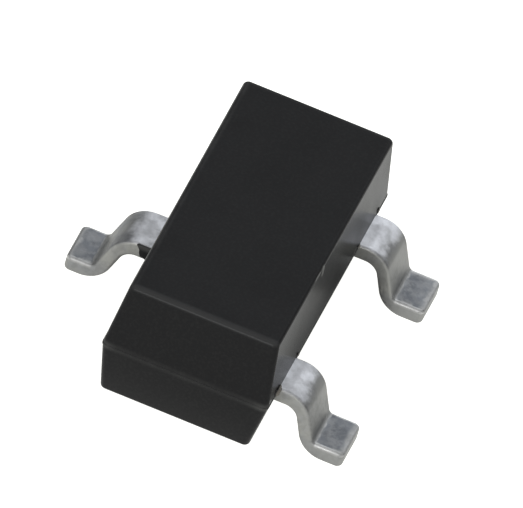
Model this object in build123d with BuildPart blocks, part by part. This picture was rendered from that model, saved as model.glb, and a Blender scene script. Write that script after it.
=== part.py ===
from build123d import *

import os
from math import atan, degrees, radians, sin, tan

os.makedirs("parts", exist_ok=True)

# Dual schottky diode in a three-lead small-outline package. Millimetres, +Z up.
# The origin is on the seating plane, under the middle of the body. X runs along the body's long axis.
# The two anode leads leave the -Y side, and the common cathode lead leaves the middle of the +Y side.

# Moulded body, measured at the parting line where the two mould halves meet
body_length = 2.9
body_width = 1.345
upper_height = 0.56
lower_height = 0.475
upper_draft = 6.9
lower_draft = 8.8
parting_step = 0.004
parting_land = 0.02
corner_radius = 0.045
top_edge_radius = 0.03
bottom_edge_radius = 0.035

# Gull-wing leads, bent from strip that is drawn thinner in the leg
standoff = 0.025
lead_thickness = 0.13
leg_thickness = 0.11
lead_width = 0.43
lead_pitch = 0.95
tip_to_tip = 2.57
anode_shoulder = 0.072
cathode_shoulder = 0.11
bend_radius = 0.12
foot_bend_radius = 0.045
leg_angle = 70
lead_edge_break = 0.015
tip_corner_radius = 0.05

# Bond posts of the anode leads and paddle of the cathode lead, inside the body
post_length = 0.58
post_width = 0.26
post_cover = 0.11
paddle_length = 1.3
paddle_width = 0.6
paddle_gap = 0.15
frame_corner_radius = 0.05

# Schottky dice, each with a raised contact, and the layer that bonds them to the paddle
die_size = 0.3
die_height = 0.15
die_spacing = 0.66
contact_size = 0.2
contact_height = 0.008
attach_thickness = 0.015
attach_margin = 0.012

# Bond wires: a flattened ball on the contact, a loop, and a wedge stitch pressed on to the post
wire_diameter = 0.025
ball_diameter = 0.07
ball_height = 0.02
ball_edge = 0.008
loop_rise = 0.19
loop_radius = 0.07
stitch_length = 0.09
stitch_width = 0.055
stitch_thickness = 0.014
stitch_slope = 35
stitch_inset = 0.05

# Heights of the stack, from the seating plane up
parting_height = standoff + lower_height
frame_top = parting_height
frame_underside = frame_top - lead_thickness
die_base = frame_top + attach_thickness
contact_top = die_base + die_height + contact_height

# Places in plan
post_y = -(body_width / 2 - post_cover - post_width / 2)
paddle_y = post_y + post_width / 2 + paddle_gap + paddle_width / 2
die_y = paddle_y
die_x = die_spacing / 2


def save(piece, name):
    """Label a finished piece and write it to its own file."""
    piece.part.label = name
    export_step(piece.part, f"parts/{name}.step")


def lead_lines(inner_end, shoulder):
    """Under and upper line of a lead, level out of the body, down the leg and along the foot, with their radii."""
    turn = radians(leg_angle)
    tip_end = tip_to_tip / 2
    upper_corner = body_width / 2 + shoulder + bend_radius * tan(turn / 2)

    def on_leg(height, thickness):
        """Point at a height on the leg's inner face, or on the face that lies a thickness outside it."""
        return upper_corner + (frame_underside - height) / tan(turn) + thickness / sin(turn), height

    under = [
        (inner_end, frame_underside),
        on_leg(frame_underside, 0),
        on_leg(0, 0),
        (tip_end, 0),
    ]
    upper = [
        (inner_end, frame_top),
        on_leg(frame_top, leg_thickness),
        on_leg(lead_thickness, leg_thickness),
        (tip_end, lead_thickness),
    ]

    # The heel leaves the foot enough flat sole for its tip's corner and edge break
    outer_radius = bend_radius + leg_thickness
    heel_room = tip_end - on_leg(0, 0)[0] - tip_corner_radius - lead_edge_break
    heel_radius = min(outer_radius, heel_room / tan(turn / 2))
    return under, [bend_radius, heel_radius], upper, [outer_radius, foot_bend_radius]


def make_lead(side, lead_x, shoulder, pad_length, pad_width, pad_y):
    """One stamped and bent lead with its flat pad inside the body. side is +1 or -1 along Y."""
    under_points, under_radii, upper_points, upper_radii = lead_lines(abs(pad_y), shoulder)
    with BuildPart() as lead:
        with BuildSketch(Plane(origin=(lead_x, 0, 0), x_dir=(0, side, 0), z_dir=(side, 0, 0))):
            with BuildLine():
                under = FilletPolyline(under_points, radius=under_radii)
                upper = FilletPolyline(upper_points, radius=upper_radii)
                Line(under @ 0, upper @ 0)
                Line(under @ 1, upper @ 1)
            make_face()
        extrude(amount=lead_width / 2, both=True)
        tip = lead.faces().sort_by(Axis.Y)[-1 if side > 0 else 0]
        fillet(tip.edges().filter_by(Axis.Z), tip_corner_radius)
        rims = lead.edges().filter_by(Axis.X, reverse=True).filter_by(Axis.Z, reverse=True)
        chamfer(rims, lead_edge_break)
        with BuildSketch(Plane.XY.offset(frame_underside)):
            with Locations((lead_x, pad_y)):
                RectangleRounded(pad_length, pad_width, frame_corner_radius)
        extrude(amount=lead_thickness)
    return lead


lead_anode_1 = make_lead(-1, -lead_pitch, anode_shoulder, post_length, post_width, post_y)
lead_anode_2 = make_lead(-1, lead_pitch, anode_shoulder, post_length, post_width, post_y)
lead_common_cathode = make_lead(1, 0, cathode_shoulder, paddle_length, paddle_width, paddle_y)
save(lead_anode_1, "lead_anode_1")
save(lead_anode_2, "lead_anode_2")
save(lead_common_cathode, "lead_common_cathode")


def make_die_attach(x):
    """Bonding layer under a die, spread a little past its edges."""
    with BuildPart() as attach:
        spread = die_size + 2 * attach_margin
        with BuildSketch(Plane.XY.offset(frame_top)):
            with Locations((x, die_y)):
                Rectangle(spread, spread)
        extrude(amount=attach_thickness, taper=degrees(atan(attach_margin / attach_thickness)))
    return attach


def make_die(x):
    """Sawn silicon die with the anode contact raised on its top."""
    with BuildPart() as die:
        with BuildSketch(Plane.XY.offset(die_base)):
            with Locations((x, die_y)):
                Rectangle(die_size, die_size)
        extrude(amount=die_height)
        with BuildSketch(Plane.XY.offset(die_base + die_height)):
            with Locations((x, die_y)):
                Rectangle(contact_size, contact_size)
        extrude(amount=contact_height)
    return die


def make_bond_wire(start_x, end_x):
    """Ball on the die's contact, looped wire, and the wedge stitch pressed on to the post."""
    start = Vector(start_x, die_y, 0)
    end = Vector(end_x, post_y, 0)
    reach = (end - start).length
    along = (end - start).normalized()
    loop_plane = Plane(origin=start, x_dir=along, z_dir=along.cross(Vector(0, 0, 1)))
    stitch_plane = Plane(origin=end + Vector(0, 0, frame_top), x_dir=along)
    loop_top = contact_top + loop_rise
    with BuildPart() as wire:
        with BuildSketch(Plane(origin=(start_x, die_y, contact_top))):
            Circle(ball_diameter / 2)
        extrude(amount=ball_height)
        chamfer(wire.edges().sort_by(Axis.Z)[-1], ball_edge)
        with BuildLine(loop_plane) as route:
            FilletPolyline(
                (0, contact_top + ball_height / 2),
                (0, loop_top),
                (reach, frame_top),
                radius=loop_radius,
            )
        with BuildSketch(Plane(origin=route.line @ 0, z_dir=route.line % 0)):
            Circle(wire_diameter / 2)
        sweep(path=route.line)
        split(bisect_by=Plane.XY.offset(frame_top), keep=Keep.TOP)
        with BuildSketch(stitch_plane):
            Rectangle(stitch_length, stitch_width)
        extrude(amount=stitch_thickness, taper=stitch_slope)
    return wire


die_attach_1 = make_die_attach(-die_x)
die_attach_2 = make_die_attach(die_x)
schottky_die_1 = make_die(-die_x)
schottky_die_2 = make_die(die_x)
bond_wire_1 = make_bond_wire(-die_x, -lead_pitch + stitch_inset)
bond_wire_2 = make_bond_wire(die_x, lead_pitch - stitch_inset)
save(die_attach_1, "die_attach_1")
save(die_attach_2, "die_attach_2")
save(schottky_die_1, "schottky_die_1")
save(schottky_die_2, "schottky_die_2")
save(bond_wire_1, "bond_wire_1")
save(bond_wire_2, "bond_wire_2")


def is_upright(edge):
    """True for the drafted corner edges, which climb more than they run level."""
    ends = edge.position_at(1) - edge.position_at(0)
    return abs(ends.Z) > edge.length / 2


# The moulding: two drafted halves with a thin rim of resin where the mould halves meet
with BuildPart() as molded_body:
    with BuildSketch(Plane.XY.offset(parting_height)):
        Rectangle(body_length - 2 * parting_step, body_width - 2 * parting_step)
    extrude(amount=upper_height, taper=upper_draft)
    with BuildSketch(Plane.XY.offset(parting_height - parting_land)):
        Rectangle(body_length - 2 * parting_step, body_width - 2 * parting_step)
    extrude(amount=-(lower_height - parting_land), taper=lower_draft)
    fillet(molded_body.edges().filter_by(is_upright), corner_radius)
    fillet(molded_body.faces().sort_by(Axis.Z)[-1].edges(), top_edge_radius)
    fillet(molded_body.faces().sort_by(Axis.Z)[0].edges(), bottom_edge_radius)
    with BuildSketch(Plane.XY.offset(parting_height - parting_land)):
        RectangleRounded(body_length, body_width, corner_radius + parting_step)
    extrude(amount=parting_land)
    for insert in (
        lead_anode_1,
        lead_anode_2,
        lead_common_cathode,
        die_attach_1,
        die_attach_2,
        schottky_die_1,
        schottky_die_2,
        bond_wire_1,
        bond_wire_2,
    ):
        add(insert.part, mode=Mode.SUBTRACT)
save(molded_body, "molded_body")
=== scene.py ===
from math import cos, pi, radians, sin, tan

import bmesh
import bpy
from bpy.props import FloatProperty, FloatVectorProperty, IntProperty, PointerProperty
from bpy.types import Operator, Panel, PropertyGroup
from mathutils import Matrix, Vector, noise


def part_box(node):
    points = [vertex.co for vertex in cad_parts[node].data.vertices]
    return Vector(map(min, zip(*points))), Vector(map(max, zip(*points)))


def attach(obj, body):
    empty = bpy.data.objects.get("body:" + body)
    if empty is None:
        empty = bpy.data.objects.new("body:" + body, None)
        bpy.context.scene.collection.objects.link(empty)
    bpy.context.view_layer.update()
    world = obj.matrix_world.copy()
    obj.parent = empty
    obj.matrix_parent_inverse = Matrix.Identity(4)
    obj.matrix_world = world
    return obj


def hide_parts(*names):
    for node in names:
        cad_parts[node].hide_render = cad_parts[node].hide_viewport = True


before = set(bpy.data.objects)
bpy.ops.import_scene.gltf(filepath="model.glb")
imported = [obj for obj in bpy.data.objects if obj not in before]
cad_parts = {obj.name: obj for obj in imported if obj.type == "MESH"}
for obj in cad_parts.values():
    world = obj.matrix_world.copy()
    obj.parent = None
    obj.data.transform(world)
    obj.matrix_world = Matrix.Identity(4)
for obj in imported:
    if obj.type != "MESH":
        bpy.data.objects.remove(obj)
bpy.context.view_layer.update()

bl_info = {
    "name": "Dual schottky diode",
    "version": (1, 0, 0),
    "blender": (4, 5, 0),
    "location": "3D Viewport > Sidebar > Diode",
    "description": "Plated gull-wing leads, moulded body, chips and studio of a small-outline diode",
    "category": "Object",
}

# Shapes are modelled in millimetres and brought to metres when a piece is finished
MILLIMETRE = 0.001
MICRON = 0.001 * MILLIMETRE
# Distance below which two points count as one, in millimetres
CLOSE = 1e-5
# A limit beyond everything, in millimetres
FAR = 10.0
# Edges that turn by more than this are drawn sharp
SHARP = radians(38)
# Edges that turn by more than this are a lead's own corners
CORNER_TURN = radians(60)
# How squarely a face must look along an axis to count as facing it
FACING = 0.99

LEADS = {
    "lead_anode_1": "anode",
    "lead_anode_2": "anode",
    "lead_common_cathode": "cathode",
}
CHIPS = ("schottky_die_1", "schottky_die_2")
BONDS = ("die_attach_1", "die_attach_2")
WIRES = ("bond_wire_1", "bond_wire_2")

# Places on the moulding in millimetres.
# Chipped spots: centre, reach, and how much each is narrowed along X, Y and Z. Below 1 it is stretched
CHIPPED_SPOTS = (
    ((-0.3, -0.608, 1.0), 0.046, (1.2, 1.0, 0.85)),
    ((-0.42, -0.604, 1.036), 0.011, (0.13, 1.2, 1.0)),
)
# Lumps of resin flash at the lead roots: centre and half sizes. The first is made broad, so that its dark flash also
# stands for painted shade in the corner between the near end and the nearest lead root
FLASH_AND_SHADE_LUMPS = (
    ((-1.185, -0.664, 0.496), (0.055, 0.031, 0.048)),
    ((-1.235, -0.66, 0.508), (0.05, 0.018, 0.032)),
    ((-0.722, -0.668, 0.513), (0.026, 0.015, 0.02)),
    ((0.72, -0.668, 0.506), (0.034, 0.011, 0.018)),
    ((1.19, -0.668, 0.508), (0.036, 0.011, 0.022)),
)
# Unevenness of a lump: mean radius, swing, grain, and how far apart the patterns of two lumps lie
LUMP_RADIUS = 0.85
LUMP_SWING = 0.35
LUMP_GRAIN = 1.5
LUMP_SHIFT = 20
# Outline in Y and Z of the web of flash on the near side of the cathode lead, and its spread along X
FLASH_WEB = (
    (0.66, 0.376),
    (0.7, 0.38),
    (0.732, 0.392),
    (0.757, 0.398),
    (0.768, 0.43),
    (0.772, 0.455),
    (0.79, 0.478),
    (0.8, 0.49),
    (0.788, 0.4965),
    (0.66, 0.4965),
)
FLASH_WEB_SPAN = (-0.2, -0.223)

# Faces across the roundings
CORNER_STEPS = 8
EDGE_STEPS = 6
LONG_EDGE_STEPS = 5
SMALL_EDGE_STEPS = 3

# Patches of noise: scale to the millimetre, detail, and the two thresholds between which a patch fades in
TIN_GRIT = (26.0, 4.0, 0.36, 0.64)
TIN_BLOTCH = (13.0, 4.0, 0.36, 0.64)
TIN_CLOUD = (6.0, 5.0, 0.4, 0.64)
TIN_WAVER = (8.0, 4.0, 0.3, 0.7)
FILLER_GRAIN = (45.0, 3.0, 0.42, 0.72)
GLOSS_CLOUD = (2.5, 4.0, 0.35, 0.7)
RIM_PATCH = (3.0, 2.0, 0.35, 0.65)
EDGE_PATCH = (4.0, 3.0, 0.4, 0.65)
SAW_LINE = (140.0, 2.0, 0.35, 0.65)
SILVER_FLAKE = (150.0, 2.0, 0.45, 0.55)
GOLD_PATCH = (120.0, 2.0, 0.4, 0.7)
FLOOR_CLOUD = (0.3, 2.0, 0.3, 0.7)
# Pattern of the saw lines along X, Y and Z: stretched level
SAW_STRETCH = (0.2, 0.2, 1.0)

# Reliefs: fine grain and broad unevenness to the millimetre, share of the grain, and depth in metres
TIN_RELIEF = (45.0, 14.0, 0.45, 2.6 * MICRON)
EPOXY_RELIEF = (55.0, 5.0, 0.5, 0.5 * MICRON)
SILICON_RELIEF = (160.0, 30.0, 0.5, 0.4 * MICRON)
ADHESIVE_RELIEF = (150.0, 30.0, 0.6, 1.0 * MICRON)
GOLD_RELIEF = (200.0, 60.0, 0.5, 0.3 * MICRON)

# Border of a chipped spot: grain to the millimetre, least and greatest share of the reach, and share of the full core
SPOT_GRAIN = 45.0
SPOT_LEAST = 0.6
SPOT_GREATEST = 1.5
SPOT_CORE = 0.6

# How far the plating's marks waver up and down, and how ragged their borders are, in millimetres
WAVER = 0.025
RAGGED = 0.012

# Marks on the plating in millimetres: from, to, and how softly they fade out.
# The cathode bend shade's run is measured out from the middle of the body, and the others up from the seating plane
# Where the tin is painted bright as lit on the level shoulder
LIT_SHOULDER = (0.452, FAR, 0.03)
# A darker band where each bend begins
BEND_BAND = (0.41, 0.45, 0.02)
# Painted shade down the cathode's outer face
CATHODE_LEG_SHADE = (0.27, 0.475, 0.022)
# Painted shade over the outer bends of the anodes and the cathode
ANODE_BEND_SHADE = (0.39, 0.494, 0.012)
CATHODE_BEND_SHADE = (0.2, FAR, 0.06)
CATHODE_BEND_SHADE_RUN = (0.74, FAR, 0.03)

# Marks measured from a line in millimetres: reach before it, reach beyond it, and how softly they fade out.
# From a lead's side, in its width
FACE = (FAR, -0.008, 0.004)
FOOT_PATCH_SIDE = (FAR, -0.034, 0.01)
# Painted highlight along the foot's top edges
FOOT_EDGE_HIGHLIGHT = (0.03, -0.006, 0.006)
# From the level of the foot's top
# Painted shade in the crease where the leg meets the foot
CREASE_SHADE = (-0.01, 0.07, 0.03)
FOOT_SIDE = (FAR, 0.03, 0.03)
FOOT_SKIN = (0.03, 0.01, 0.005)
# From the crease where the foot begins, and from its tip
FOOT_START = (0.02, FAR, 0.006)
FOOT_PATCH_START = (0.012, FAR, 0.006)
FOOT_PATCH_TIP = (-0.042, FAR, 0.018)
# From the moulding's sides, ends and top, and from the two edges of its parting rim
# Where the parting rim's painted highlight is brightest, near the long sides
RIM_CORNER_HIGHLIGHT = (0.08, FAR, 0.07)
# Painted highlight round the top edge, along the near end and the far edges
TOP_EDGE_HIGHLIGHT = (0.02, FAR, 0.022)
NEAR_END_HIGHLIGHT = (0.0, 0.112, 0.028)
FAR_EDGE_HIGHLIGHT = (0.045, FAR, 0.02)
PROUD_FLASH = (FAR, -0.0005, 0.0004)
TOP_FACE = (0.003, FAR, 0.003)
# Painted highlight along the parting rim
RIM_HIGHLIGHT = (0.014, 0.024, 0.022)
# From the top of a chip
CONTACT_LAYER = (0.007, FAR, 0.0008)

# The shaded floor round the part and the floor under the body, in millimetres: from, to, and softness.
# The shade's ends slant by this much along Y
SHADE_SLANT = 0.4
SHADE_ALONG = (-0.72, 1.12, 0.45)
SHADE_ACROSS = (-1.01, 0.85, 0.12)
UNDER_ALONG = (-1.5, 1.5, 0.15)
UNDER_ACROSS = (-0.66, 0.66, 0.1)
# Half size of the floor, and the camera's distance, in metres
FLOOR_REACH = 0.15
CAMERA_AWAY = 0.05

# Softboxes, named like their brightness: direction from the part, distance and side in metres, and colour
SOFTBOXES = {
    "overhead": ((0.1, 0.0, 1.0), 0.05, 0.06, (1.0, 1.0, 1.0)),
    "front": ((-0.88, 0.1, 0.46), 0.06, 0.02, (1.0, 1.0, 1.0)),
    "back": ((0.765, -0.13, 0.5), 0.06, 0.06, (0.93, 0.96, 1.0)),
}


def distance(name, description, millimetres):
    """A length that a user may change, kept in metres."""
    return FloatProperty(
        name=name,
        description=description,
        default=millimetres * MILLIMETRE,
        min=0.0,
        precision=6,
        subtype="DISTANCE",
        unit="LENGTH",
    )


def angle_of(name, description, degrees):
    """An angle that a user may change, kept in radians."""
    return FloatProperty(name=name, description=description, default=radians(degrees), subtype="ANGLE")


def tint(name, description, colour):
    """A colour that a user may change."""
    return FloatVectorProperty(
        name=name,
        description=description,
        default=colour,
        size=3,
        min=0,
        max=1,
        subtype="COLOR",
    )


def lighting(name, description, value, top):
    """The strength of a light, from zero to a top value."""
    return FloatProperty(name=name, description=description, default=value, min=0, max=top, subtype="FACTOR")


class DIODE_PG_leads(PropertyGroup):
    """Sizes and finish of the bent leads"""

    strip: distance("Strip thickness", "Thickness of the strip and of the foot", 0.13)
    leg: distance("Leg thickness", "Thickness of the leg, drawn thinner by bending", 0.11)
    width: distance("Width", "Width of a lead", 0.43)
    anode_shoulder: distance("Anode shoulder", "Level run outside the body on the anode side", 0.072)
    cathode_shoulder: distance("Cathode shoulder", "Level run outside the body on the cathode side", 0.11)
    bend: distance("Bend radius", "Radius on the hollow side of the upper bend and under the leg", 0.12)
    foot_bend: distance("Foot bend radius", "Radius where the leg meets the top of the foot", 0.045)
    lean: angle_of("Leg angle", "Angle of the leg to the board", 70)
    edge: distance("Edge radius", "Rounding of the long edges under the plating", 0.026)
    tip_corner: distance("Tip corner radius", "Rounding of the foot's tip in plan", 0.05)
    post_depth: distance("Post depth", "Depth of a bond post inside the body", 0.26)
    paddle_depth: distance("Paddle depth", "Depth of the paddle inside the body", 0.6)
    pad_corner: distance("Pad corner radius", "Corner radius of posts and paddle", 0.05)
    steps: IntProperty(name="Bend steps", description="Faces along each bend", default=18, min=4, max=64)
    # Tin, shaded leg tin and side tin are one tin in lit and shaded copies: painted light
    tin: tint("Tin", "Tin painted bright on the level shoulder as lit", (0.77, 0.775, 0.802))
    shaded_leg_tin: tint("Shaded leg tin", "Plating painted darker down the leg as shaded", (0.35, 0.35, 0.34))
    side_tin: tint("Side tin", "Plating on the sheared sides", (0.36, 0.36, 0.343))
    # Smudge and shade: stains on the plating, and painted shade in the foot's crease and down the cathode's outer
    # face
    smudge_and_shade: tint("Smudge and shade", "Plating darker in stains, low on the sides and where the bend begins, and painted shade in the foot's crease and down the cathode's outer face", (0.28, 0.285, 0.295))
    foot_tin: tint("Foot tin", "Plating round the rim of the foot", (0.38, 0.38, 0.375))
    foot_patch_tin: tint("Foot patch tin", "Plating darker in a patch on top of the foot", (0.19, 0.2, 0.215))
    # Painted highlight along the foot's top edges
    foot_highlight_tin: tint("Foot highlight tin", "Painted highlight along the foot's top edges", (0.62, 0.62, 0.615))


class DIODE_PG_body(PropertyGroup):
    """Sizes and finish of the moulding"""

    parting: distance("Parting height", "Height of the line where the mould halves meet", 0.5)
    step: distance("Rim step", "How far the parting rim stands out", 0.004)
    land: distance("Rim height", "Height of the parting rim", 0.02)
    rim_edge: distance("Rim softening", "Rounding of the parting rim's edges", 0.0036)
    upper_draft: angle_of("Upper draft", "Draft of the upper half", 6.9)
    lower_draft: angle_of("Lower draft", "Draft of the lower half", 8.8)
    corner: distance("Corner radius", "Rounding of the upright corners", 0.045)
    top_edge: distance("Top edge radius", "Rounding round the top face", 0.036)
    bottom_edge: distance("Bottom edge radius", "Rounding round the underside", 0.035)
    compound: tint("Compound", "Black filled epoxy", (0.014, 0.014, 0.0145))
    filler: tint("Filler", "Paler filler grains at the surface", (0.02, 0.02, 0.02))
    # Painted highlight along the parting rim
    rim_highlight: tint("Rim highlight", "Painted highlight along the parting rim", (0.06, 0.06, 0.058))
    # Painted highlight round the top edge
    edge_highlight: tint("Edge highlight", "Painted highlight round the top edge", (0.048, 0.048, 0.048))
    chipped: tint("Chipped resin", "Pale filler bared where an edge is chipped", (0.125, 0.125, 0.12))
    flash: tint("Flash", "Thin brownish flash round the lead roots", (0.17, 0.157, 0.138))
    flash_edge: distance("Flash softening", "Rounding of the flash on the cathode lead", 0.006)


class DIODE_PG_inside(PropertyGroup):
    """Finishes of the sealed pieces"""

    silicon: tint("Silicon", "Sawn silicon", (0.12, 0.125, 0.14))
    contact: tint("Contact metal", "Aluminium contact on a die", (0.78, 0.79, 0.8))
    adhesive: tint("Adhesive", "Silver-filled adhesive", (0.5, 0.5, 0.48))
    gold: tint("Gold", "Bond wire", (0.86, 0.6, 0.24))


class DIODE_PG_studio(PropertyGroup):
    """Floor, lights and the photograph's view"""

    azimuth: angle_of("Azimuth", "Turn of the view", -82.3063)
    elevation: angle_of("Elevation", "Height of the view", 39.4457)
    roll: angle_of("Roll", "Lean of the upright", 17.2055)
    view_width: distance("View width", "Width of the picture at the object", 3.89625)
    aim: FloatVectorProperty(
        name="Aim",
        description="Point at the middle of the picture",
        default=(0.0000940241, -0.0000741679, 0.00060118364),
        precision=6,
        subtype="TRANSLATION",
        unit="LENGTH",
    )
    floor: tint("Floor", "Pale matte floor", (0.86, 0.86, 0.82))
    shade: tint("Shade", "Floor in the shade round the part", (0.36, 0.36, 0.348))
    glow: lighting("Floor glow", "Light that lifts the floor to white in the picture", 1.0, 4.0)
    sky: lighting("Sky", "Strength of the light from all round", 0.3, 4.0)
    overhead: lighting("Overhead", "Brightness of the overhead softbox", 0.2, 20.0)
    front: lighting("Front", "Brightness of the low softbox in front", 11.0, 20.0)
    back: lighting("Back", "Brightness of the softbox behind", 1.0, 20.0)
    below: lighting("Below", "Light that the floor gives off under the body, for views of the underside", 0.6, 4.0)
    table: lighting("Table", "Light that the floor gives off clear of the part", 0.54, 4.0)


class DIODE_PG_all(PropertyGroup):
    """Everything that a user may change"""

    leads: PointerProperty(type=DIODE_PG_leads)
    body: PointerProperty(type=DIODE_PG_body)
    inside: PointerProperty(type=DIODE_PG_inside)
    studio: PointerProperty(type=DIODE_PG_studio)


# Nodes


def add(tree, kind, inputs=None, **settings):
    """Add a node, and give each of its inputs a value or another node's output."""
    node = tree.nodes.new(kind)
    node.location = (200 * len(tree.nodes), 0)
    for name, value in settings.items():
        setattr(node, name, value)
    for key, value in (inputs or {}).items():
        join(tree, node.inputs[key], value)
    return node


def join(tree, socket, value):
    """Set a socket, or link an output to it."""
    if isinstance(value, bpy.types.NodeSocket):
        tree.links.new(value, socket)
    else:
        socket.default_value = value


def opaque(colour):
    """A colour with its alpha."""
    return (*colour, 1.0)


def mix_colours(tree, mask, first, second):
    """First colour where the mask is 0, second where it is 1."""
    node = add(tree, "ShaderNodeMix", {0: mask, 6: first, 7: second}, data_type="RGBA")
    return node.outputs[2]


def mix_values(tree, mask, low, high):
    """Low where the mask is 0, high where it is 1."""
    return add(tree, "ShaderNodeMapRange", {"Value": mask, "To Min": low, "To Max": high}).outputs["Result"]


def maths(tree, operation, first, second=0.0):
    """One sum on two numbers."""
    return add(tree, "ShaderNodeMath", {0: first, 1: second}, operation=operation).outputs[0]


def soft_step(tree, value, limit, border, before, beyond):
    """One number before a limit and another beyond it, with a soft border."""
    step = add(
        tree,
        "ShaderNodeMapRange",
        {
            "Value": value,
            "From Min": maths(tree, "SUBTRACT", limit, border),
            "From Max": maths(tree, "ADD", limit, border),
            "To Min": before,
            "To Max": beyond,
        },
        interpolation_type="SMOOTHSTEP",
    )
    return step.outputs["Result"]


def make_group(name, inputs, output, fill):
    """Build a node group with one output, unless it is there already. Inputs are named with their defaults."""
    if name in bpy.data.node_groups:
        return
    group = bpy.data.node_groups.new(name, "ShaderNodeTree")
    for label, default in inputs.items():
        kind = "NodeSocketFloat" if isinstance(default, float) else "NodeSocketVector"
        socket = group.interface.new_socket(name=label, in_out="INPUT", socket_type=kind)
        socket.default_value = default
    group.interface.new_socket(name=output, in_out="OUTPUT", socket_type="NodeSocketFloat")
    start = add(group, "NodeGroupInput").outputs
    add(group, "NodeGroupOutput", {output: fill(group, start)})


def use_group(tree, name, inputs):
    """Place a node group in a material with its own values, and give its output."""
    return add(tree, "ShaderNodeGroup", inputs, node_tree=bpy.data.node_groups[name]).outputs[0]


def fill_mottle(group, start):
    """Soft patches of noise between a low and a high threshold."""
    pattern = {name: start[name] for name in ("Vector", "Scale", "Detail")}
    grain = add(group, "ShaderNodeTexNoise", pattern, noise_dimensions="3D").outputs[0]
    mask = add(
        group,
        "ShaderNodeMapRange",
        {"Value": grain, "From Min": start["Low"], "From Max": start["High"]},
        interpolation_type="SMOOTHSTEP",
    )
    return mask.outputs["Result"]


def fill_zone(group, start):
    """1 where a number lies between two limits, fading out over a soft border."""
    rise = soft_step(group, start["Value"], start["From"], start["Border"], 0.0, 1.0)
    fall = soft_step(group, start["Value"], start["To"], start["Border"], 1.0, 0.0)
    return maths(group, "MULTIPLY", rise, fall)


def fill_surface(group, start):
    """Fine grain over a broad unevenness, as one height for a bump."""
    fine, broad = (
        add(group, "ShaderNodeTexNoise", {"Vector": start["Vector"], "Scale": start[scale], "Detail": detail})
        for scale, detail in (("Grain scale", 2.0), ("Broad scale", 3.0))
    )
    heights = {0: start["Grain share"], 2: broad.outputs[0], 3: fine.outputs[0]}
    return add(group, "ShaderNodeMix", heights, data_type="FLOAT").outputs[0]


def fill_spot(group, start):
    """1 close to a point, fading out at a distance with an uneven border."""
    away = add(group, "ShaderNodeVectorMath", {0: start["Vector"], 1: start["Centre"]}, operation="SUBTRACT")
    narrowed = add(group, "ShaderNodeVectorMath", {0: away.outputs[0], 1: start["Narrowing"]}, operation="MULTIPLY")
    length = add(group, "ShaderNodeVectorMath", {0: narrowed.outputs[0]}, operation="LENGTH").outputs["Value"]
    uneven = add(group, "ShaderNodeTexNoise", {"Vector": start["Vector"], "Scale": SPOT_GRAIN, "Detail": 2.0})
    swing = mix_values(group, uneven.outputs[0], SPOT_LEAST, SPOT_GREATEST)
    border = maths(group, "MULTIPLY", start["Reach"], swing)
    core = maths(group, "MULTIPLY", border, SPOT_CORE)
    mask = add(
        group,
        "ShaderNodeMapRange",
        {"Value": length, "From Min": core, "From Max": border, "To Min": 1.0, "To Max": 0.0},
        interpolation_type="SMOOTHSTEP",
    )
    return mask.outputs["Result"]


def make_groups():
    """Build the shared node groups, unless they are there already."""
    nowhere, even = (0.0, 0.0, 0.0), (1.0, 1.0, 1.0)
    for name, inputs, output, fill in (
        ("Mottle", {"Vector": nowhere, "Scale": 5.0, "Detail": 3.0, "Low": 0.4, "High": 0.6}, "Mask", fill_mottle),
        ("Zone", {"Value": 0.0, "From": 0.0, "To": 1.0, "Border": 0.02}, "Mask", fill_zone),
        (
            "Surface",
            {"Vector": nowhere, "Grain scale": 60.0, "Broad scale": 6.0, "Grain share": 0.5},
            "Height",
            fill_surface,
        ),
        ("Spot", {"Vector": nowhere, "Centre": nowhere, "Reach": 0.02, "Narrowing": even}, "Mask", fill_spot),
    ):
        make_group(name, inputs, output, fill)


def start_material(name):
    """A material with its shader, and its pattern space in millimetres on the object's own coordinates."""
    make_groups()
    material = bpy.data.materials.new(name)
    material.use_nodes = True
    tree = material.node_tree
    tree.nodes.clear()
    place = add(tree, "ShaderNodeTexCoord")
    space = add(tree, "ShaderNodeMapping", {"Vector": place.outputs["Object"], "Scale": (1 / MILLIMETRE,) * 3})
    shader = add(tree, "ShaderNodeBsdfPrincipled")
    add(tree, "ShaderNodeOutputMaterial", {"Surface": shader.outputs[0]})
    return material, tree, space.outputs[0], shader


def give_relief(tree, shader, space, grain, broad, grain_share, depth):
    """Bump the surface with the Surface group. The depth is in metres."""
    scales = {"Grain scale": grain, "Broad scale": broad, "Grain share": grain_share}
    height = use_group(tree, "Surface", {"Vector": space, **scales})
    bump = add(tree, "ShaderNodeBump", {"Height": height, "Distance": depth, "Strength": 1.0})
    join(tree, shader.inputs["Normal"], bump.outputs[0])


def zone(tree, value, low, high, border):
    """1 where a value lies between two limits."""
    return use_group(tree, "Zone", {"Value": value, "From": low, "To": high, "Border": border})


def beside(tree, value, line, mark):
    """1 where a value lies as near to a line as a mark reaches."""
    before, beyond, border = mark
    return zone(tree, value, line - before, line + beyond, border)


def mottle(tree, space, scale, detail, low, high):
    """Soft patches of noise."""
    pattern = {"Scale": scale, "Detail": detail, "Low": low, "High": high}
    return use_group(tree, "Mottle", {"Vector": space, **pattern})


def spot(tree, space, centre, reach, narrowing):
    """1 close to a point."""
    place = {"Centre": centre, "Reach": reach, "Narrowing": narrowing}
    return use_group(tree, "Spot", {"Vector": space, **place})


def part_of(tree, mask, strength):
    """A mask at part of its strength."""
    return maths(tree, "MULTIPLY", mask, strength)


def opposite(tree, mask):
    """1 where a mask is 0."""
    return maths(tree, "SUBTRACT", 1.0, mask)


def darker(colour, strength):
    """A colour at part of its brightness."""
    return [strength * part for part in colour]


def all_of(tree, first, *others):
    """1 where every mask is 1."""
    for other in others:
        first = maths(tree, "MULTIPLY", first, other)
    return first


def any_of(tree, first, *others):
    """1 where any mask is 1."""
    for other in others:
        first = maths(tree, "MAXIMUM", first, other)
    return first


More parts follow.
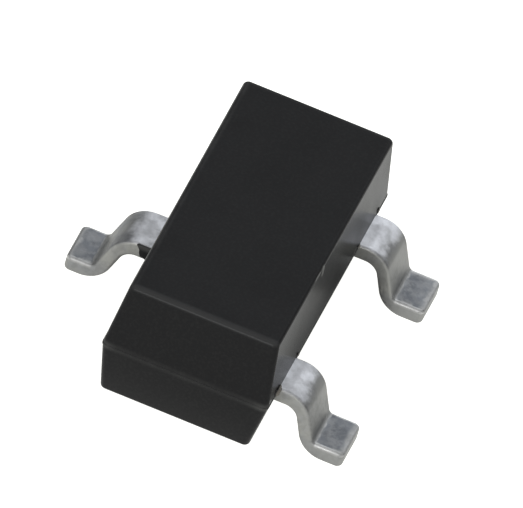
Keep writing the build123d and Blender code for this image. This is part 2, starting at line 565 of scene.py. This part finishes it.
def foot_line(settings, kind):
    """How far out the top of the foot begins, in millimetres."""
    shoulder = settings.cathode_shoulder if kind == "cathode" else settings.anode_shoulder
    body_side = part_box("molded_body")[1].y
    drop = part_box("lead_anode_1")[1].z - 2 * settings.strip
    half_turn = tan(settings.lean / 2)
    upper_corner = body_side + shoulder + settings.bend * half_turn
    lower_corner = upper_corner + drop / tan(settings.lean) + settings.leg / sin(settings.lean)
    return (lower_corner + settings.foot_bend * half_turn) / MILLIMETRE


def matte_tin(settings):
    """Matte tin, with painted light: bright as lit on the level shoulder, darker as shaded down the leg and sides,
    painted shade in the foot's crease, over the outer bends and down the cathode's outer face, a painted highlight
    along the foot's top edges, and a darker patch on top of the foot.
    """
    material, tree, space, shader = start_material("matte_tin")
    axes = add(tree, "ShaderNodeSeparateXYZ", {0: space}).outputs
    low, high = (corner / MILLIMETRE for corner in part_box("lead_anode_2"))
    pitch = (low.x + high.x) / 2
    tip = -low.y
    strip, half = settings.strip / MILLIMETRE, settings.width / MILLIMETRE / 2
    wrapped = add(tree, "ShaderNodeMath", {0: axes["X"], 1: pitch / 2, 2: -pitch / 2}, operation="WRAP").outputs[0]
    across = maths(tree, "ABSOLUTE", wrapped)
    outward = maths(tree, "ABSOLUTE", axes["Y"])
    on_cathode = maths(tree, "GREATER_THAN", axes["Y"], 0.0)
    foot_start = mix_values(tree, on_cathode, foot_line(settings, "anode"), foot_line(settings, "cathode"))
    along_foot = maths(tree, "SUBTRACT", outward, foot_start)
    from_tip = maths(tree, "SUBTRACT", tip, outward)

    grit = mottle(tree, space, *TIN_GRIT)
    blotch = mottle(tree, space, *TIN_BLOTCH)
    cloud = mottle(tree, space, *TIN_CLOUD)
    waver = mix_values(tree, mottle(tree, space, *TIN_WAVER), -WAVER, WAVER)
    height = maths(tree, "ADD", axes["Z"], waver)
    ragged = mix_values(tree, blotch, -RAGGED, RAGGED)
    ragged_across = maths(tree, "ADD", across, ragged)
    ragged_tip = maths(tree, "ADD", from_tip, ragged)
    ragged_start = maths(tree, "ADD", along_foot, part_of(tree, ragged, 0.5))

    # Where each mark lies. Blotches and clouds keep it from being even
    on_face = beside(tree, across, half, FACE)
    # Painted light: the level shoulder takes the bright lit copy of the tin
    lit_shoulder = all_of(tree, zone(tree, height, *LIT_SHOULDER), on_face)
    # A darker band where each bend begins, and painted shade down the cathode's outer face
    bend_band = zone(tree, height, *BEND_BAND)
    cathode_leg_shade = all_of(tree, zone(tree, height, *CATHODE_LEG_SHADE), on_cathode)
    band_and_shade = all_of(tree, any_of(tree, bend_band, cathode_leg_shade), on_face, mix_values(tree, cloud, 0.4, 1.0))
    # Painted shade in the crease where the leg meets the foot
    crease_shade = all_of(tree, beside(tree, axes["Z"], strip, CREASE_SHADE), on_face)
    foot_side = all_of(tree, opposite(tree, on_face), beside(tree, axes["Z"], strip, FOOT_SIDE))
    side_stain = all_of(tree, mix_values(tree, on_face, 1.0, 0.4), cloud, mix_values(tree, blotch, 0.3, 1.0))
    top_of_foot = beside(tree, axes["Z"], strip, FOOT_SKIN)
    on_foot = all_of(tree, top_of_foot, beside(tree, along_foot, 0.0, FOOT_START))
    # A darker patch on top of the foot
    foot_patch = all_of(
        tree,
        top_of_foot,
        beside(tree, ragged_start, 0.0, FOOT_PATCH_START),
        beside(tree, ragged_tip, 0.0, FOOT_PATCH_TIP),
        beside(tree, ragged_across, half, FOOT_PATCH_SIDE),
        mix_values(tree, blotch, 1.0, 0.6),
    )
    # Painted highlight along the foot's top edges
    foot_edge_highlight = all_of(tree, on_foot, beside(tree, across, half, FOOT_EDGE_HIGHLIGHT), mix_values(tree, cloud, 1.0, 0.5))

    # The marks laid over each other, each at its strength
    # The leg and the sides start from darker copies of the tin, painted as shaded
    colour = mix_colours(tree, on_face, opaque(settings.side_tin), opaque(settings.shaded_leg_tin))
    for mask, strength, tone in (
        (lit_shoulder, 1.0, settings.tin),
        (cloud, 0.2, settings.shaded_leg_tin),
        (band_and_shade, mix_values(tree, on_cathode, 0.4, 0.95), settings.smudge_and_shade),
        (crease_shade, 0.2, settings.smudge_and_shade),
        (side_stain, 0.55, settings.smudge_and_shade),
        (foot_side, 0.5, settings.smudge_and_shade),
        (on_foot, 1.0, settings.foot_tin),
        (foot_patch, 1.0, settings.foot_patch_tin),
        (foot_edge_highlight, 1.0, settings.foot_highlight_tin),
    ):
        colour = mix_colours(tree, part_of(tree, mask, strength), colour, opaque(tone))

    # Fine grit darkens all of the tin, and painted shade darkens the outer bends
    cathode_bend = all_of(tree, zone(tree, outward, *CATHODE_BEND_SHADE_RUN), zone(tree, axes["Z"], *CATHODE_BEND_SHADE))
    cathode_bend_shade = all_of(tree, on_cathode, cathode_bend)
    anode_bend_shade = all_of(tree, opposite(tree, on_cathode), zone(tree, axes["Z"], *ANODE_BEND_SHADE))
    bend_shade = all_of(tree, on_face, any_of(tree, cathode_bend_shade, anode_bend_shade))
    dimmed = part_of(tree, mix_values(tree, grit, 0.86, 1.0), mix_values(tree, bend_shade, 1.0, 0.84))
    colour = add(tree, "ShaderNodeVectorMath", {0: colour, "Scale": dimmed}, operation="SCALE").outputs[0]
    shader.inputs["Metallic"].default_value = 1.0
    join(tree, shader.inputs["Base Color"], colour)
    join(tree, shader.inputs["Roughness"], mix_values(tree, any_of(tree, grit, cloud), 0.46, 0.6))
    give_relief(tree, shader, space, *TIN_RELIEF)
    return material


def filled_epoxy(settings):
    """Black moulding compound with fine filler grain, painted highlights along the parting rim and round the top
    edge, and a chipped top edge.
    """
    material, tree, space, shader = start_material("filled_epoxy")
    axes = add(tree, "ShaderNodeSeparateXYZ", {0: space}).outputs
    low, high = (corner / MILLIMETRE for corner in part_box("molded_body"))
    parting, land = settings.parting / MILLIMETRE, settings.land / MILLIMETRE
    head = (high.z - parting) * tan(settings.upper_draft)
    grains = part_of(tree, mottle(tree, space, *FILLER_GRAIN), 0.6)
    colour = mix_colours(tree, grains, opaque(settings.compound), opaque(settings.filler))

    # Painted highlight along the parting rim, brightest at its corners
    before, beyond, border = RIM_HIGHLIGHT
    rim = zone(tree, axes["Z"], parting - land - before, parting + beyond, border)
    corners = beside(tree, maths(tree, "ABSOLUTE", axes["Y"]), high.y, RIM_CORNER_HIGHLIGHT)
    patches = mix_values(tree, mottle(tree, space, *RIM_PATCH), 0.18, 0.4)
    rim_brightness = maths(tree, "ADD", patches, part_of(tree, corners, 0.55))
    colour = mix_colours(tree, part_of(tree, rim, rim_brightness), colour, opaque(settings.rim_highlight))

    # Painted highlight on the top edge: all along the near end, and in patches along the far end and the cathode side
    top_edge = beside(tree, axes["Z"], high.z, TOP_EDGE_HIGHLIGHT)
    near_end = beside(tree, axes["X"], low.x, NEAR_END_HIGHLIGHT)
    by_side = beside(tree, axes["Y"], high.y - head, FAR_EDGE_HIGHLIGHT)
    by_end = beside(tree, axes["X"], high.x - head, FAR_EDGE_HIGHLIGHT)
    round_top = all_of(tree, top_edge, any_of(tree, by_side, by_end))
    highlight_patches = mix_values(tree, mottle(tree, space, *EDGE_PATCH), 0.35, 0.7)
    edge_highlight_mask = any_of(tree, all_of(tree, top_edge, near_end), all_of(tree, round_top, highlight_patches))
    colour = mix_colours(tree, edge_highlight_mask, colour, opaque(settings.edge_highlight))

    chips = any_of(tree, *(spot(tree, space, *place) for place in CHIPPED_SPOTS))
    colour = mix_colours(tree, chips, colour, opaque(settings.chipped))
    proud = beside(tree, axes["Y"], low.y, PROUD_FLASH)
    join(tree, shader.inputs["Base Color"], mix_colours(tree, proud, colour, opaque(settings.flash)))

    on_top = beside(tree, axes["Z"], high.z, TOP_FACE)
    clouds = mottle(tree, space, *GLOSS_CLOUD)
    side_gloss = mix_values(tree, clouds, 0.2, 0.26)
    top_gloss = mix_values(tree, clouds, 0.36, 0.44)
    join(tree, shader.inputs["Roughness"], mix_values(tree, on_top, side_gloss, top_gloss))
    shader.inputs["Specular IOR Level"].default_value = 0.046
    give_relief(tree, shader, space, *EPOXY_RELIEF)
    return material


def sawn_silicon(settings):
    """Silicon with saw lines on its sides and a metal contact on top."""
    material, tree, space, shader = start_material("sawn_silicon")
    axes = add(tree, "ShaderNodeSeparateXYZ", {0: space}).outputs
    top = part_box(CHIPS[0])[1].z / MILLIMETRE
    on_contact = beside(tree, axes["Z"], top, CONTACT_LAYER)
    saw_space = add(tree, "ShaderNodeMapping", {"Vector": space, "Scale": SAW_STRETCH}).outputs[0]
    saw = mottle(tree, saw_space, *SAW_LINE)
    sides = mix_colours(tree, saw, opaque(settings.silicon), opaque(darker(settings.silicon, 0.7)))
    join(tree, shader.inputs["Base Color"], mix_colours(tree, on_contact, sides, opaque(settings.contact)))
    join(tree, shader.inputs["Metallic"], mix_values(tree, on_contact, 0.55, 1.0))
    join(tree, shader.inputs["Roughness"], mix_values(tree, saw, 0.22, 0.42))
    give_relief(tree, shader, space, *SILICON_RELIEF)
    return material


def silver_adhesive(settings):
    """Cured adhesive crowded with silver flakes."""
    material, tree, space, shader = start_material("silver_adhesive")
    flakes = mottle(tree, space, *SILVER_FLAKE)
    resin = opaque(darker(settings.adhesive, 0.55))
    join(tree, shader.inputs["Base Color"], mix_colours(tree, flakes, resin, opaque(settings.adhesive)))
    join(tree, shader.inputs["Metallic"], mix_values(tree, flakes, 0.2, 0.9))
    join(tree, shader.inputs["Roughness"], mix_values(tree, flakes, 0.6, 0.4))
    give_relief(tree, shader, space, *ADHESIVE_RELIEF)
    return material


def drawn_gold(settings):
    """Gold wire, mottled where drawing and pressing left it duller."""
    material, tree, space, shader = start_material("drawn_gold")
    dull = mottle(tree, space, *GOLD_PATCH)
    dull_gold = opaque(darker(settings.gold, 0.85))
    join(tree, shader.inputs["Base Color"], mix_colours(tree, dull, opaque(settings.gold), dull_gold))
    shader.inputs["Metallic"].default_value = 1.0
    join(tree, shader.inputs["Roughness"], mix_values(tree, dull, 0.18, 0.32))
    give_relief(tree, shader, space, *GOLD_RELIEF)
    return material


# Meshes


def new_vertices(result):
    """The vertices that an operator made."""
    return [item for item in result["geom"] if isinstance(item, bmesh.types.BMVert)]


def run_on(bm, end, reach):
    """Extrude a straight run from the end of a line."""
    made = bmesh.ops.extrude_vert_indiv(bm, verts=[end])["verts"]
    bmesh.ops.translate(bm, verts=made, vec=reach)
    return made[0]


def bend_on(bm, end, centre, angle, steps):
    """Sweep the end of a line round a bend's centre."""
    made = bmesh.ops.spin(bm, geom=[end], cent=centre, axis=(1, 0, 0), angle=angle, steps=steps)
    return next(item for item in made["geom_last"] if isinstance(item, bmesh.types.BMVert))


def draw_line(bm, start, corners, radii, tip, turn, steps):
    """One line of a lead's side: level, round the first bend, down the leg, round the heel and along the foot."""
    first, second = (Vector((0, *corner)) for corner in corners)
    first_run, second_run = (radius * tan(turn / 2) for radius in radii)
    down = (second - first).normalized()
    begin = bm.verts.new((0, start, first.z))
    end = run_on(bm, begin, (0, first.y - first_run - start, 0))
    end = bend_on(bm, end, (0, first.y - first_run, first.z - radii[0]), -turn, steps)
    end = run_on(bm, end, down * ((second - first).length - first_run - second_run))
    end = bend_on(bm, end, (0, second.y + second_run, second.z + radii[1]), turn, steps)
    run_on(bm, end, (0, tip - second.y - second_run, 0))


def grow(bm, face, reach):
    """Extrude one face of a closed mesh."""
    made = bmesh.ops.extrude_face_region(bm, geom=[face])
    bmesh.ops.delete(bm, geom=[face], context="FACES_ONLY")
    bmesh.ops.translate(bm, verts=new_vertices(made), vec=reach)


def round_edges(bm, edges, radius, segments):
    """Round a set of edges."""
    bmesh.ops.bevel(
        bm,
        geom=edges,
        offset=radius,
        offset_type="OFFSET",
        affect="EDGES",
        segments=segments,
        profile=0.5,
        material=-1,
        clamp_overlap=True,
    )


def is_upright(edge):
    """True for an edge that runs straight up."""
    first, second = (vertex.co for vertex in edge.verts)
    return (first - second).to_2d().length < CLOSE


def finish_piece(bm, name, material, stands_for=()):
    """Close a mesh made in millimetres, bring it to metres and let it ride on the part."""
    bmesh.ops.remove_doubles(bm, verts=bm.verts, dist=CLOSE)
    bmesh.ops.recalc_face_normals(bm, faces=bm.faces)
    if any(len(edge.link_faces) != 2 for edge in bm.edges):
        raise RuntimeError(f"{name} isn't closed")
    for face in bm.faces:
        face.smooth = True
    for edge in bm.edges:
        edge.smooth = edge.calc_face_angle(0) < SHARP
    bmesh.ops.scale(bm, vec=(MILLIMETRE,) * 3, verts=bm.verts)
    mesh = bpy.data.meshes.new(name)
    bm.to_mesh(mesh)
    bm.free()
    mesh.materials.append(material)
    piece = bpy.data.objects.new(name, mesh)
    bpy.context.scene.collection.objects.link(piece)
    even = piece.modifiers.new("Even shading", "WEIGHTED_NORMAL")
    even.mode = "FACE_AREA"
    even.keep_sharp = True
    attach(piece, "root")
    if stands_for:
        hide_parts(*stands_for)
    return piece


def round_corners(bm, radius, segments):
    """Round the corners of a flat outline."""
    bmesh.ops.bevel(
        bm,
        geom=bm.verts[:],
        offset=radius,
        offset_type="OFFSET",
        affect="VERTICES",
        segments=segments,
        profile=0.5,
        material=-1,
    )


def resize_face(face, bm, half_x, half_y):
    """Stretch a level face about the middle to new half sizes."""
    now_x = max(vertex.co.x for vertex in face.verts)
    now_y = max(vertex.co.y for vertex in face.verts)
    bmesh.ops.scale(bm, verts=face.verts[:], vec=(half_x / now_x, half_y / now_y, 1))


def add_lump(bm, centre, half_sizes):
    """An uneven lump of flash, sunk into the corner where it sits; a broad one also stands for the painted shade in
    that corner.
    """
    lump = bmesh.ops.create_icosphere(bm, subdivisions=3, radius=1.0)["verts"]
    for vertex in lump:
        vertex.co *= LUMP_RADIUS + LUMP_SWING * noise.noise(vertex.co * LUMP_GRAIN + Vector(centre) * LUMP_SHIFT)
    bmesh.ops.scale(bm, verts=lump, vec=half_sizes)
    bmesh.ops.translate(bm, verts=lump, vec=centre)


def add_web(bm, softening):
    """A thin web of flash left between the mould and the near side of the cathode lead."""
    start, end = FLASH_WEB_SPAN
    corners = [bm.verts.new((start, y, z)) for y, z in FLASH_WEB]
    outline = bm.faces.new(corners)
    made = bmesh.ops.extrude_face_region(bm, geom=[outline])
    bmesh.ops.translate(bm, verts=new_vertices(made), vec=(end - start, 0, 0))
    outer = next(item for item in made["geom"] if isinstance(item, bmesh.types.BMFace))
    round_edges(bm, outer.edges[:], softening, SMALL_EDGE_STEPS)


def mould_body(settings, material):
    """The moulding: two drafted halves that meet in a thin softened rim."""
    low, high = (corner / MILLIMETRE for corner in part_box("molded_body"))
    parting, step, land = (v / MILLIMETRE for v in (settings.parting, settings.step, settings.land))
    foot = (parting - land - low.z) * tan(settings.lower_draft)
    head = (high.z - parting) * tan(settings.upper_draft)
    rings = (
        (parting - land, step),
        (parting - land, 0),
        (parting, 0),
        (parting, step),
        (high.z, step + head),
    )

    bm = bmesh.new()
    bmesh.ops.create_grid(bm, x_segments=1, y_segments=1, size=1.0)
    bmesh.ops.translate(bm, verts=bm.verts, vec=(0, 0, low.z))
    resize_face(bm.faces[:][0], bm, high.x - step - foot, high.y - step - foot)
    round_corners(bm, settings.corner / MILLIMETRE, CORNER_STEPS)
    underside = bm.faces[:][0]
    cap = underside
    height = low.z
    loops = []
    for level, inset in rings:
        made = bmesh.ops.extrude_face_region(bm, geom=[cap])
        if cap is not underside:
            bmesh.ops.delete(bm, geom=[cap], context="FACES_ONLY")
        cap = next(item for item in made["geom"] if isinstance(item, bmesh.types.BMFace))
        bmesh.ops.translate(bm, verts=cap.verts[:], vec=(0, 0, level - height))
        resize_face(cap, bm, high.x - inset, high.y - inset)
        loops.append(cap.edges[:])
        height = level
    bmesh.ops.recalc_face_normals(bm, faces=bm.faces)

    bottom_rim, top_rim = loops[1], loops[2]
    round_edges(bm, bottom_rim + top_rim, settings.rim_edge / MILLIMETRE, SMALL_EDGE_STEPS)
    round_edges(bm, loops[-1], settings.top_edge / MILLIMETRE, EDGE_STEPS)
    round_edges(bm, underside.edges[:], settings.bottom_edge / MILLIMETRE, EDGE_STEPS)
    # Dark flash lumps, the broad first one also standing for painted shade beside a lead root
    for centre, half_sizes in FLASH_AND_SHADE_LUMPS:
        add_lump(bm, centre, half_sizes)
    add_web(bm, settings.flash_edge / MILLIMETRE)
    return finish_piece(bm, "moulded_body", material, ("molded_body",))


def bend_lead(node, kind, settings, material):
    """One lead, bent like its CAD node and meshed finely enough for smooth bends and edges."""
    low, high = (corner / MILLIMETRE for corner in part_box(node))
    body_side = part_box("molded_body")[1].y / MILLIMETRE
    side = 1 if high.y > -low.y else -1
    tip = max(high.y, -low.y)
    inner = low.y if side > 0 else -high.y
    depth = (settings.paddle_depth if kind == "cathode" else settings.post_depth) / MILLIMETRE
    shoulder = (settings.cathode_shoulder if kind == "cathode" else settings.anode_shoulder) / MILLIMETRE
    strip, leg, width = (v / MILLIMETRE for v in (settings.strip, settings.leg, settings.width))
    bend, foot_bend = settings.bend / MILLIMETRE, settings.foot_bend / MILLIMETRE
    pad_side = inner + depth
    pad_wing = (high.x - low.x - width) / 2
    turn = settings.lean
    upper_corner = body_side + shoulder + bend * tan(turn / 2)
    underside = high.z - strip

    def on_leg(height, thickness):
        """Point at a height on the leg's inner face, or on the face that lies a thickness outside it."""
        return upper_corner + (underside - height) / tan(turn) + thickness / sin(turn), height

    bm = bmesh.new()
    under = (on_leg(underside, 0), on_leg(0, 0))
    over = (on_leg(high.z, leg), on_leg(strip, leg))
    draw_line(bm, pad_side, under, (bend, bend + leg), tip, turn, settings.steps)
    draw_line(bm, pad_side, over, (bend + leg, foot_bend), tip, turn, settings.steps)
    bmesh.ops.bridge_loops(bm, edges=bm.edges[:])
    bmesh.ops.translate(bm, verts=bm.verts, vec=(-width / 2, 0, 0))
    made = bmesh.ops.extrude_face_region(bm, geom=bm.faces[:])
    bmesh.ops.translate(bm, verts=new_vertices(made), vec=(width, 0, 0))
    bmesh.ops.recalc_face_normals(bm, faces=bm.faces)

    # The pad grows inwards from the strip's end, and then out to both sides
    inner_end = next(
        f for f in bm.faces if f.normal.y < -FACING and abs(f.calc_center_median().y - pad_side) < CLOSE
    )
    grow(bm, inner_end, (0, -depth, 0))
    for way in (-1, 1):
        wing = next(f for f in bm.faces if f.normal.x * way > FACING and f.calc_center_median().y < pad_side - CLOSE)
        grow(bm, wing, (way * pad_wing, 0, 0))
    bmesh.ops.recalc_face_normals(bm, faces=bm.faces)

    far_x = width / 2 + pad_wing
    pad_corners = [e for e in bm.edges if is_upright(e) and abs(abs(e.verts[0].co.x) - far_x) < CLOSE]
    round_edges(bm, pad_corners, settings.pad_corner / MILLIMETRE, EDGE_STEPS)
    tip_corners = [e for e in bm.edges if is_upright(e) and abs(e.verts[0].co.y - tip) < CLOSE]
    round_edges(bm, tip_corners, settings.tip_corner / MILLIMETRE, EDGE_STEPS)
    long_edges = [
        e
        for e in bm.edges
        if min(v.co.y for v in e.verts) > pad_side - CLOSE
        and max(v.co.y for v in e.verts) > pad_side + CLOSE
        and abs(e.verts[0].co.x) < width / 2 + CLOSE
        and e.calc_face_angle(0) > CORNER_TURN
    ]
    round_edges(bm, long_edges, settings.edge / MILLIMETRE, LONG_EDGE_STEPS)

    if side < 0:
        bmesh.ops.rotate(bm, verts=bm.verts, cent=(0, 0, 0), matrix=Matrix.Rotation(pi, 3, "Z"))
    bmesh.ops.translate(bm, verts=bm.verts, vec=((low.x + high.x) / 2, 0, 0))
    return finish_piece(bm, f"plated_{node}", material, (node,))


def dress_node(node, material):
    """Give a CAD node its material."""
    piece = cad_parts[node]
    if not piece.material_slots:
        piece.data.materials.append(material)
    for place in piece.material_slots:
        place.material = material


# Steps


class DIODE_OT_leads(Operator):
    """Bend the three plated leads and let them stand for their CAD nodes"""

    bl_idname = "diode.leads"
    bl_label = "Plated leads"

    def execute(self, context):
        settings = context.scene.diode.leads
        material = matte_tin(settings)
        for node, kind in LEADS.items():
            bend_lead(node, kind, settings, material)
        return {"FINISHED"}


class DIODE_OT_body(Operator):
    """Mould the body and let it stand for its CAD node"""

    bl_idname = "diode.body"
    bl_label = "Moulded body"

    def execute(self, context):
        settings = context.scene.diode.body
        mould_body(settings, filled_epoxy(settings))
        return {"FINISHED"}


class DIODE_OT_inside(Operator):
    """Finish the sealed chips, their bonding layers and the bond wires"""

    bl_idname = "diode.inside"
    bl_label = "Chips and wires"

    def execute(self, context):
        settings = context.scene.diode.inside
        for nodes, material in (
            (CHIPS, sawn_silicon(settings)),
            (BONDS, silver_adhesive(settings)),
            (WIRES, drawn_gold(settings)),
        ):
            for node in nodes:
                dress_node(node, material)
        return {"FINISHED"}


def pale_floor(settings):
    """Matte floor that the camera sees white, and that lights the part less from close by."""
    material, tree, space, shader = start_material("pale_floor")
    axes = add(tree, "ShaderNodeSeparateXYZ", {0: space}).outputs
    clouds = mottle(tree, space, *FLOOR_CLOUD)
    even = mix_colours(tree, clouds, opaque(settings.floor), opaque(darker(settings.floor, 0.985)))
    slanted = maths(tree, "ADD", axes["X"], part_of(tree, axes["Y"], SHADE_SLANT))
    shaded = all_of(tree, zone(tree, slanted, *SHADE_ALONG), zone(tree, axes["Y"], *SHADE_ACROSS))
    under = all_of(tree, zone(tree, axes["X"], *UNDER_ALONG), zone(tree, axes["Y"], *UNDER_ACROSS))
    join(tree, shader.inputs["Base Color"], mix_colours(tree, shaded, even, opaque(settings.shade)))
    shader.inputs["Roughness"].default_value = 0.9
    shader.inputs["Specular IOR Level"].default_value = 0.1

    # Light of its own: white to the camera, and the table's light with some under the body to everything else
    seen = add(tree, "ShaderNodeLightPath").outputs["Is Camera Ray"]
    table = mix_values(tree, shaded, settings.table, 0.0)
    given_off = maths(tree, "ADD", table, part_of(tree, under, settings.below))
    shader.inputs["Emission Color"].default_value = (1.0, 1.0, 0.97, 1.0)
    join(tree, shader.inputs["Emission Strength"], mix_values(tree, seen, given_off, settings.glow))

    # From underneath, the camera sees through the floor
    from_below = add(tree, "ShaderNodeNewGeometry").outputs["Backfacing"]
    clear = add(tree, "ShaderNodeBsdfTransparent")
    see_through = part_of(tree, seen, from_below)
    both = add(tree, "ShaderNodeMixShader", {0: see_through, 1: shader.outputs[0], 2: clear.outputs[0]})
    ending = next(node for node in tree.nodes if node.type == "OUTPUT_MATERIAL")
    join(tree, ending.inputs["Surface"], both.outputs[0])
    return material


def studio_floor(settings):
    """A wide floor just under the soles."""
    bm = bmesh.new()
    bmesh.ops.create_grid(bm, x_segments=1, y_segments=1, size=FLOOR_REACH)
    bmesh.ops.translate(bm, verts=bm.verts, vec=(0, 0, -MICRON))
    mesh = bpy.data.meshes.new("studio_floor")
    bm.to_mesh(mesh)
    bm.free()
    floor = bpy.data.objects.new("studio_floor", mesh)
    bpy.context.scene.collection.objects.link(floor)
    mesh.materials.append(pale_floor(settings))


def studio_world(settings):
    """Even light from all round, and a white backdrop to the camera."""
    world = bpy.data.worlds.new("studio_light")
    world.use_nodes = True
    tree = world.node_tree
    tree.nodes.clear()
    sky = add(tree, "ShaderNodeBackground", {"Color": (0.96, 0.98, 1.0, 1.0), "Strength": settings.sky})
    backdrop = add(tree, "ShaderNodeBackground", {"Color": (1.0, 1.0, 1.0, 1.0), "Strength": 1.0})
    seen = add(tree, "ShaderNodeLightPath").outputs["Is Camera Ray"]
    both = add(tree, "ShaderNodeMixShader", {0: seen, 1: sky.outputs[0], 2: backdrop.outputs[0]})
    add(tree, "ShaderNodeOutputWorld", {"Surface": both.outputs[0]})
    bpy.context.scene.world = world


def softbox(name, direction, away, side, brightness, colour):
    """A soft light that faces the part. Its brightness is that of its own surface."""
    light = bpy.data.lights.new(name, "AREA")
    light.shape = "RECTANGLE"
    light.size = light.size_y = side
    # The watts that make a square of this side as bright as asked
    light.energy = 4 * brightness * side * side
    light.color = colour
    lamp = bpy.data.objects.new(name, light)
    toward = Vector(direction).normalized()
    lamp.location = toward * away
    lamp.rotation_mode = "QUATERNION"
    lamp.rotation_quaternion = toward.to_track_quat("Z", "Y")
    lamp.visible_camera = False
    bpy.context.scene.collection.objects.link(lamp)


def studio_camera(settings):
    """Parallel view from the photograph's side."""
    camera = bpy.data.cameras.new("studio_camera")
    camera.type = "ORTHO"
    camera.ortho_scale = settings.view_width
    camera.clip_start, camera.clip_end = 0.001, 1.0
    azimuth, elevation, roll = settings.azimuth, settings.elevation, settings.roll
    back = Vector((sin(azimuth) * cos(elevation), -cos(azimuth) * cos(elevation), sin(elevation)))
    level = Vector((cos(azimuth), sin(azimuth), 0))
    rise = back.cross(level)
    right = cos(roll) * level + sin(roll) * rise
    up = back.cross(right)
    view = bpy.data.objects.new("studio_camera", camera)
    facing = Matrix((right, up, back)).transposed().to_4x4()
    view.matrix_world = Matrix.Translation(Vector(settings.aim) + CAMERA_AWAY * back) @ facing
    bpy.context.scene.collection.objects.link(view)
    bpy.context.scene.camera = view


class DIODE_OT_studio(Operator):
    """Lay the floor, set the soft lights and place the camera"""

    bl_idname = "diode.studio"
    bl_label = "Floor, lights and camera"

    def execute(self, context):
        settings = context.scene.diode.studio
        context.scene.view_settings.view_transform = "Standard"
        studio_floor(settings)
        studio_world(settings)
        for name, (direction, away, side, colour) in SOFTBOXES.items():
            softbox(f"{name}_softbox", direction, away, side, getattr(settings, name), colour)
        studio_camera(settings)
        return {"FINISHED"}


class DIODE_PT_steps(Panel):
    """The steps and sizes of the diode, in the sidebar"""

    bl_label = "Dual schottky diode"
    bl_space_type = "VIEW_3D"
    bl_region_type = "UI"
    bl_category = "Diode"

    def draw(self, context):
        settings = context.scene.diode
        for operator, group in (
            (DIODE_OT_leads, settings.leads),
            (DIODE_OT_body, settings.body),
            (DIODE_OT_inside, settings.inside),
            (DIODE_OT_studio, settings.studio),
        ):
            box = self.layout.box()
            box.operator(operator.bl_idname)
            for name in group.bl_rna.properties.keys():
                if name not in ("rna_type", "name"):
                    box.prop(group, name)


CLASSES = (
    DIODE_PG_leads,
    DIODE_PG_body,
    DIODE_PG_inside,
    DIODE_PG_studio,
    DIODE_PG_all,
    DIODE_OT_leads,
    DIODE_OT_body,
    DIODE_OT_inside,
    DIODE_OT_studio,
    DIODE_PT_steps,
)


def register():
    """Add the classes and the settings."""
    for cls in CLASSES:
        bpy.utils.register_class(cls)
    bpy.types.Scene.diode = PointerProperty(type=DIODE_PG_all)


def unregister():
    """Take the settings and the classes away again."""
    del bpy.types.Scene.diode
    for cls in reversed(CLASSES):
        bpy.utils.unregister_class(cls)


def main():
    """Run every step in order."""
    register()
    bpy.ops.diode.leads()
    bpy.ops.diode.body()
    bpy.ops.diode.inside()
    bpy.ops.diode.studio()


if __name__ == "__main__":
    main()
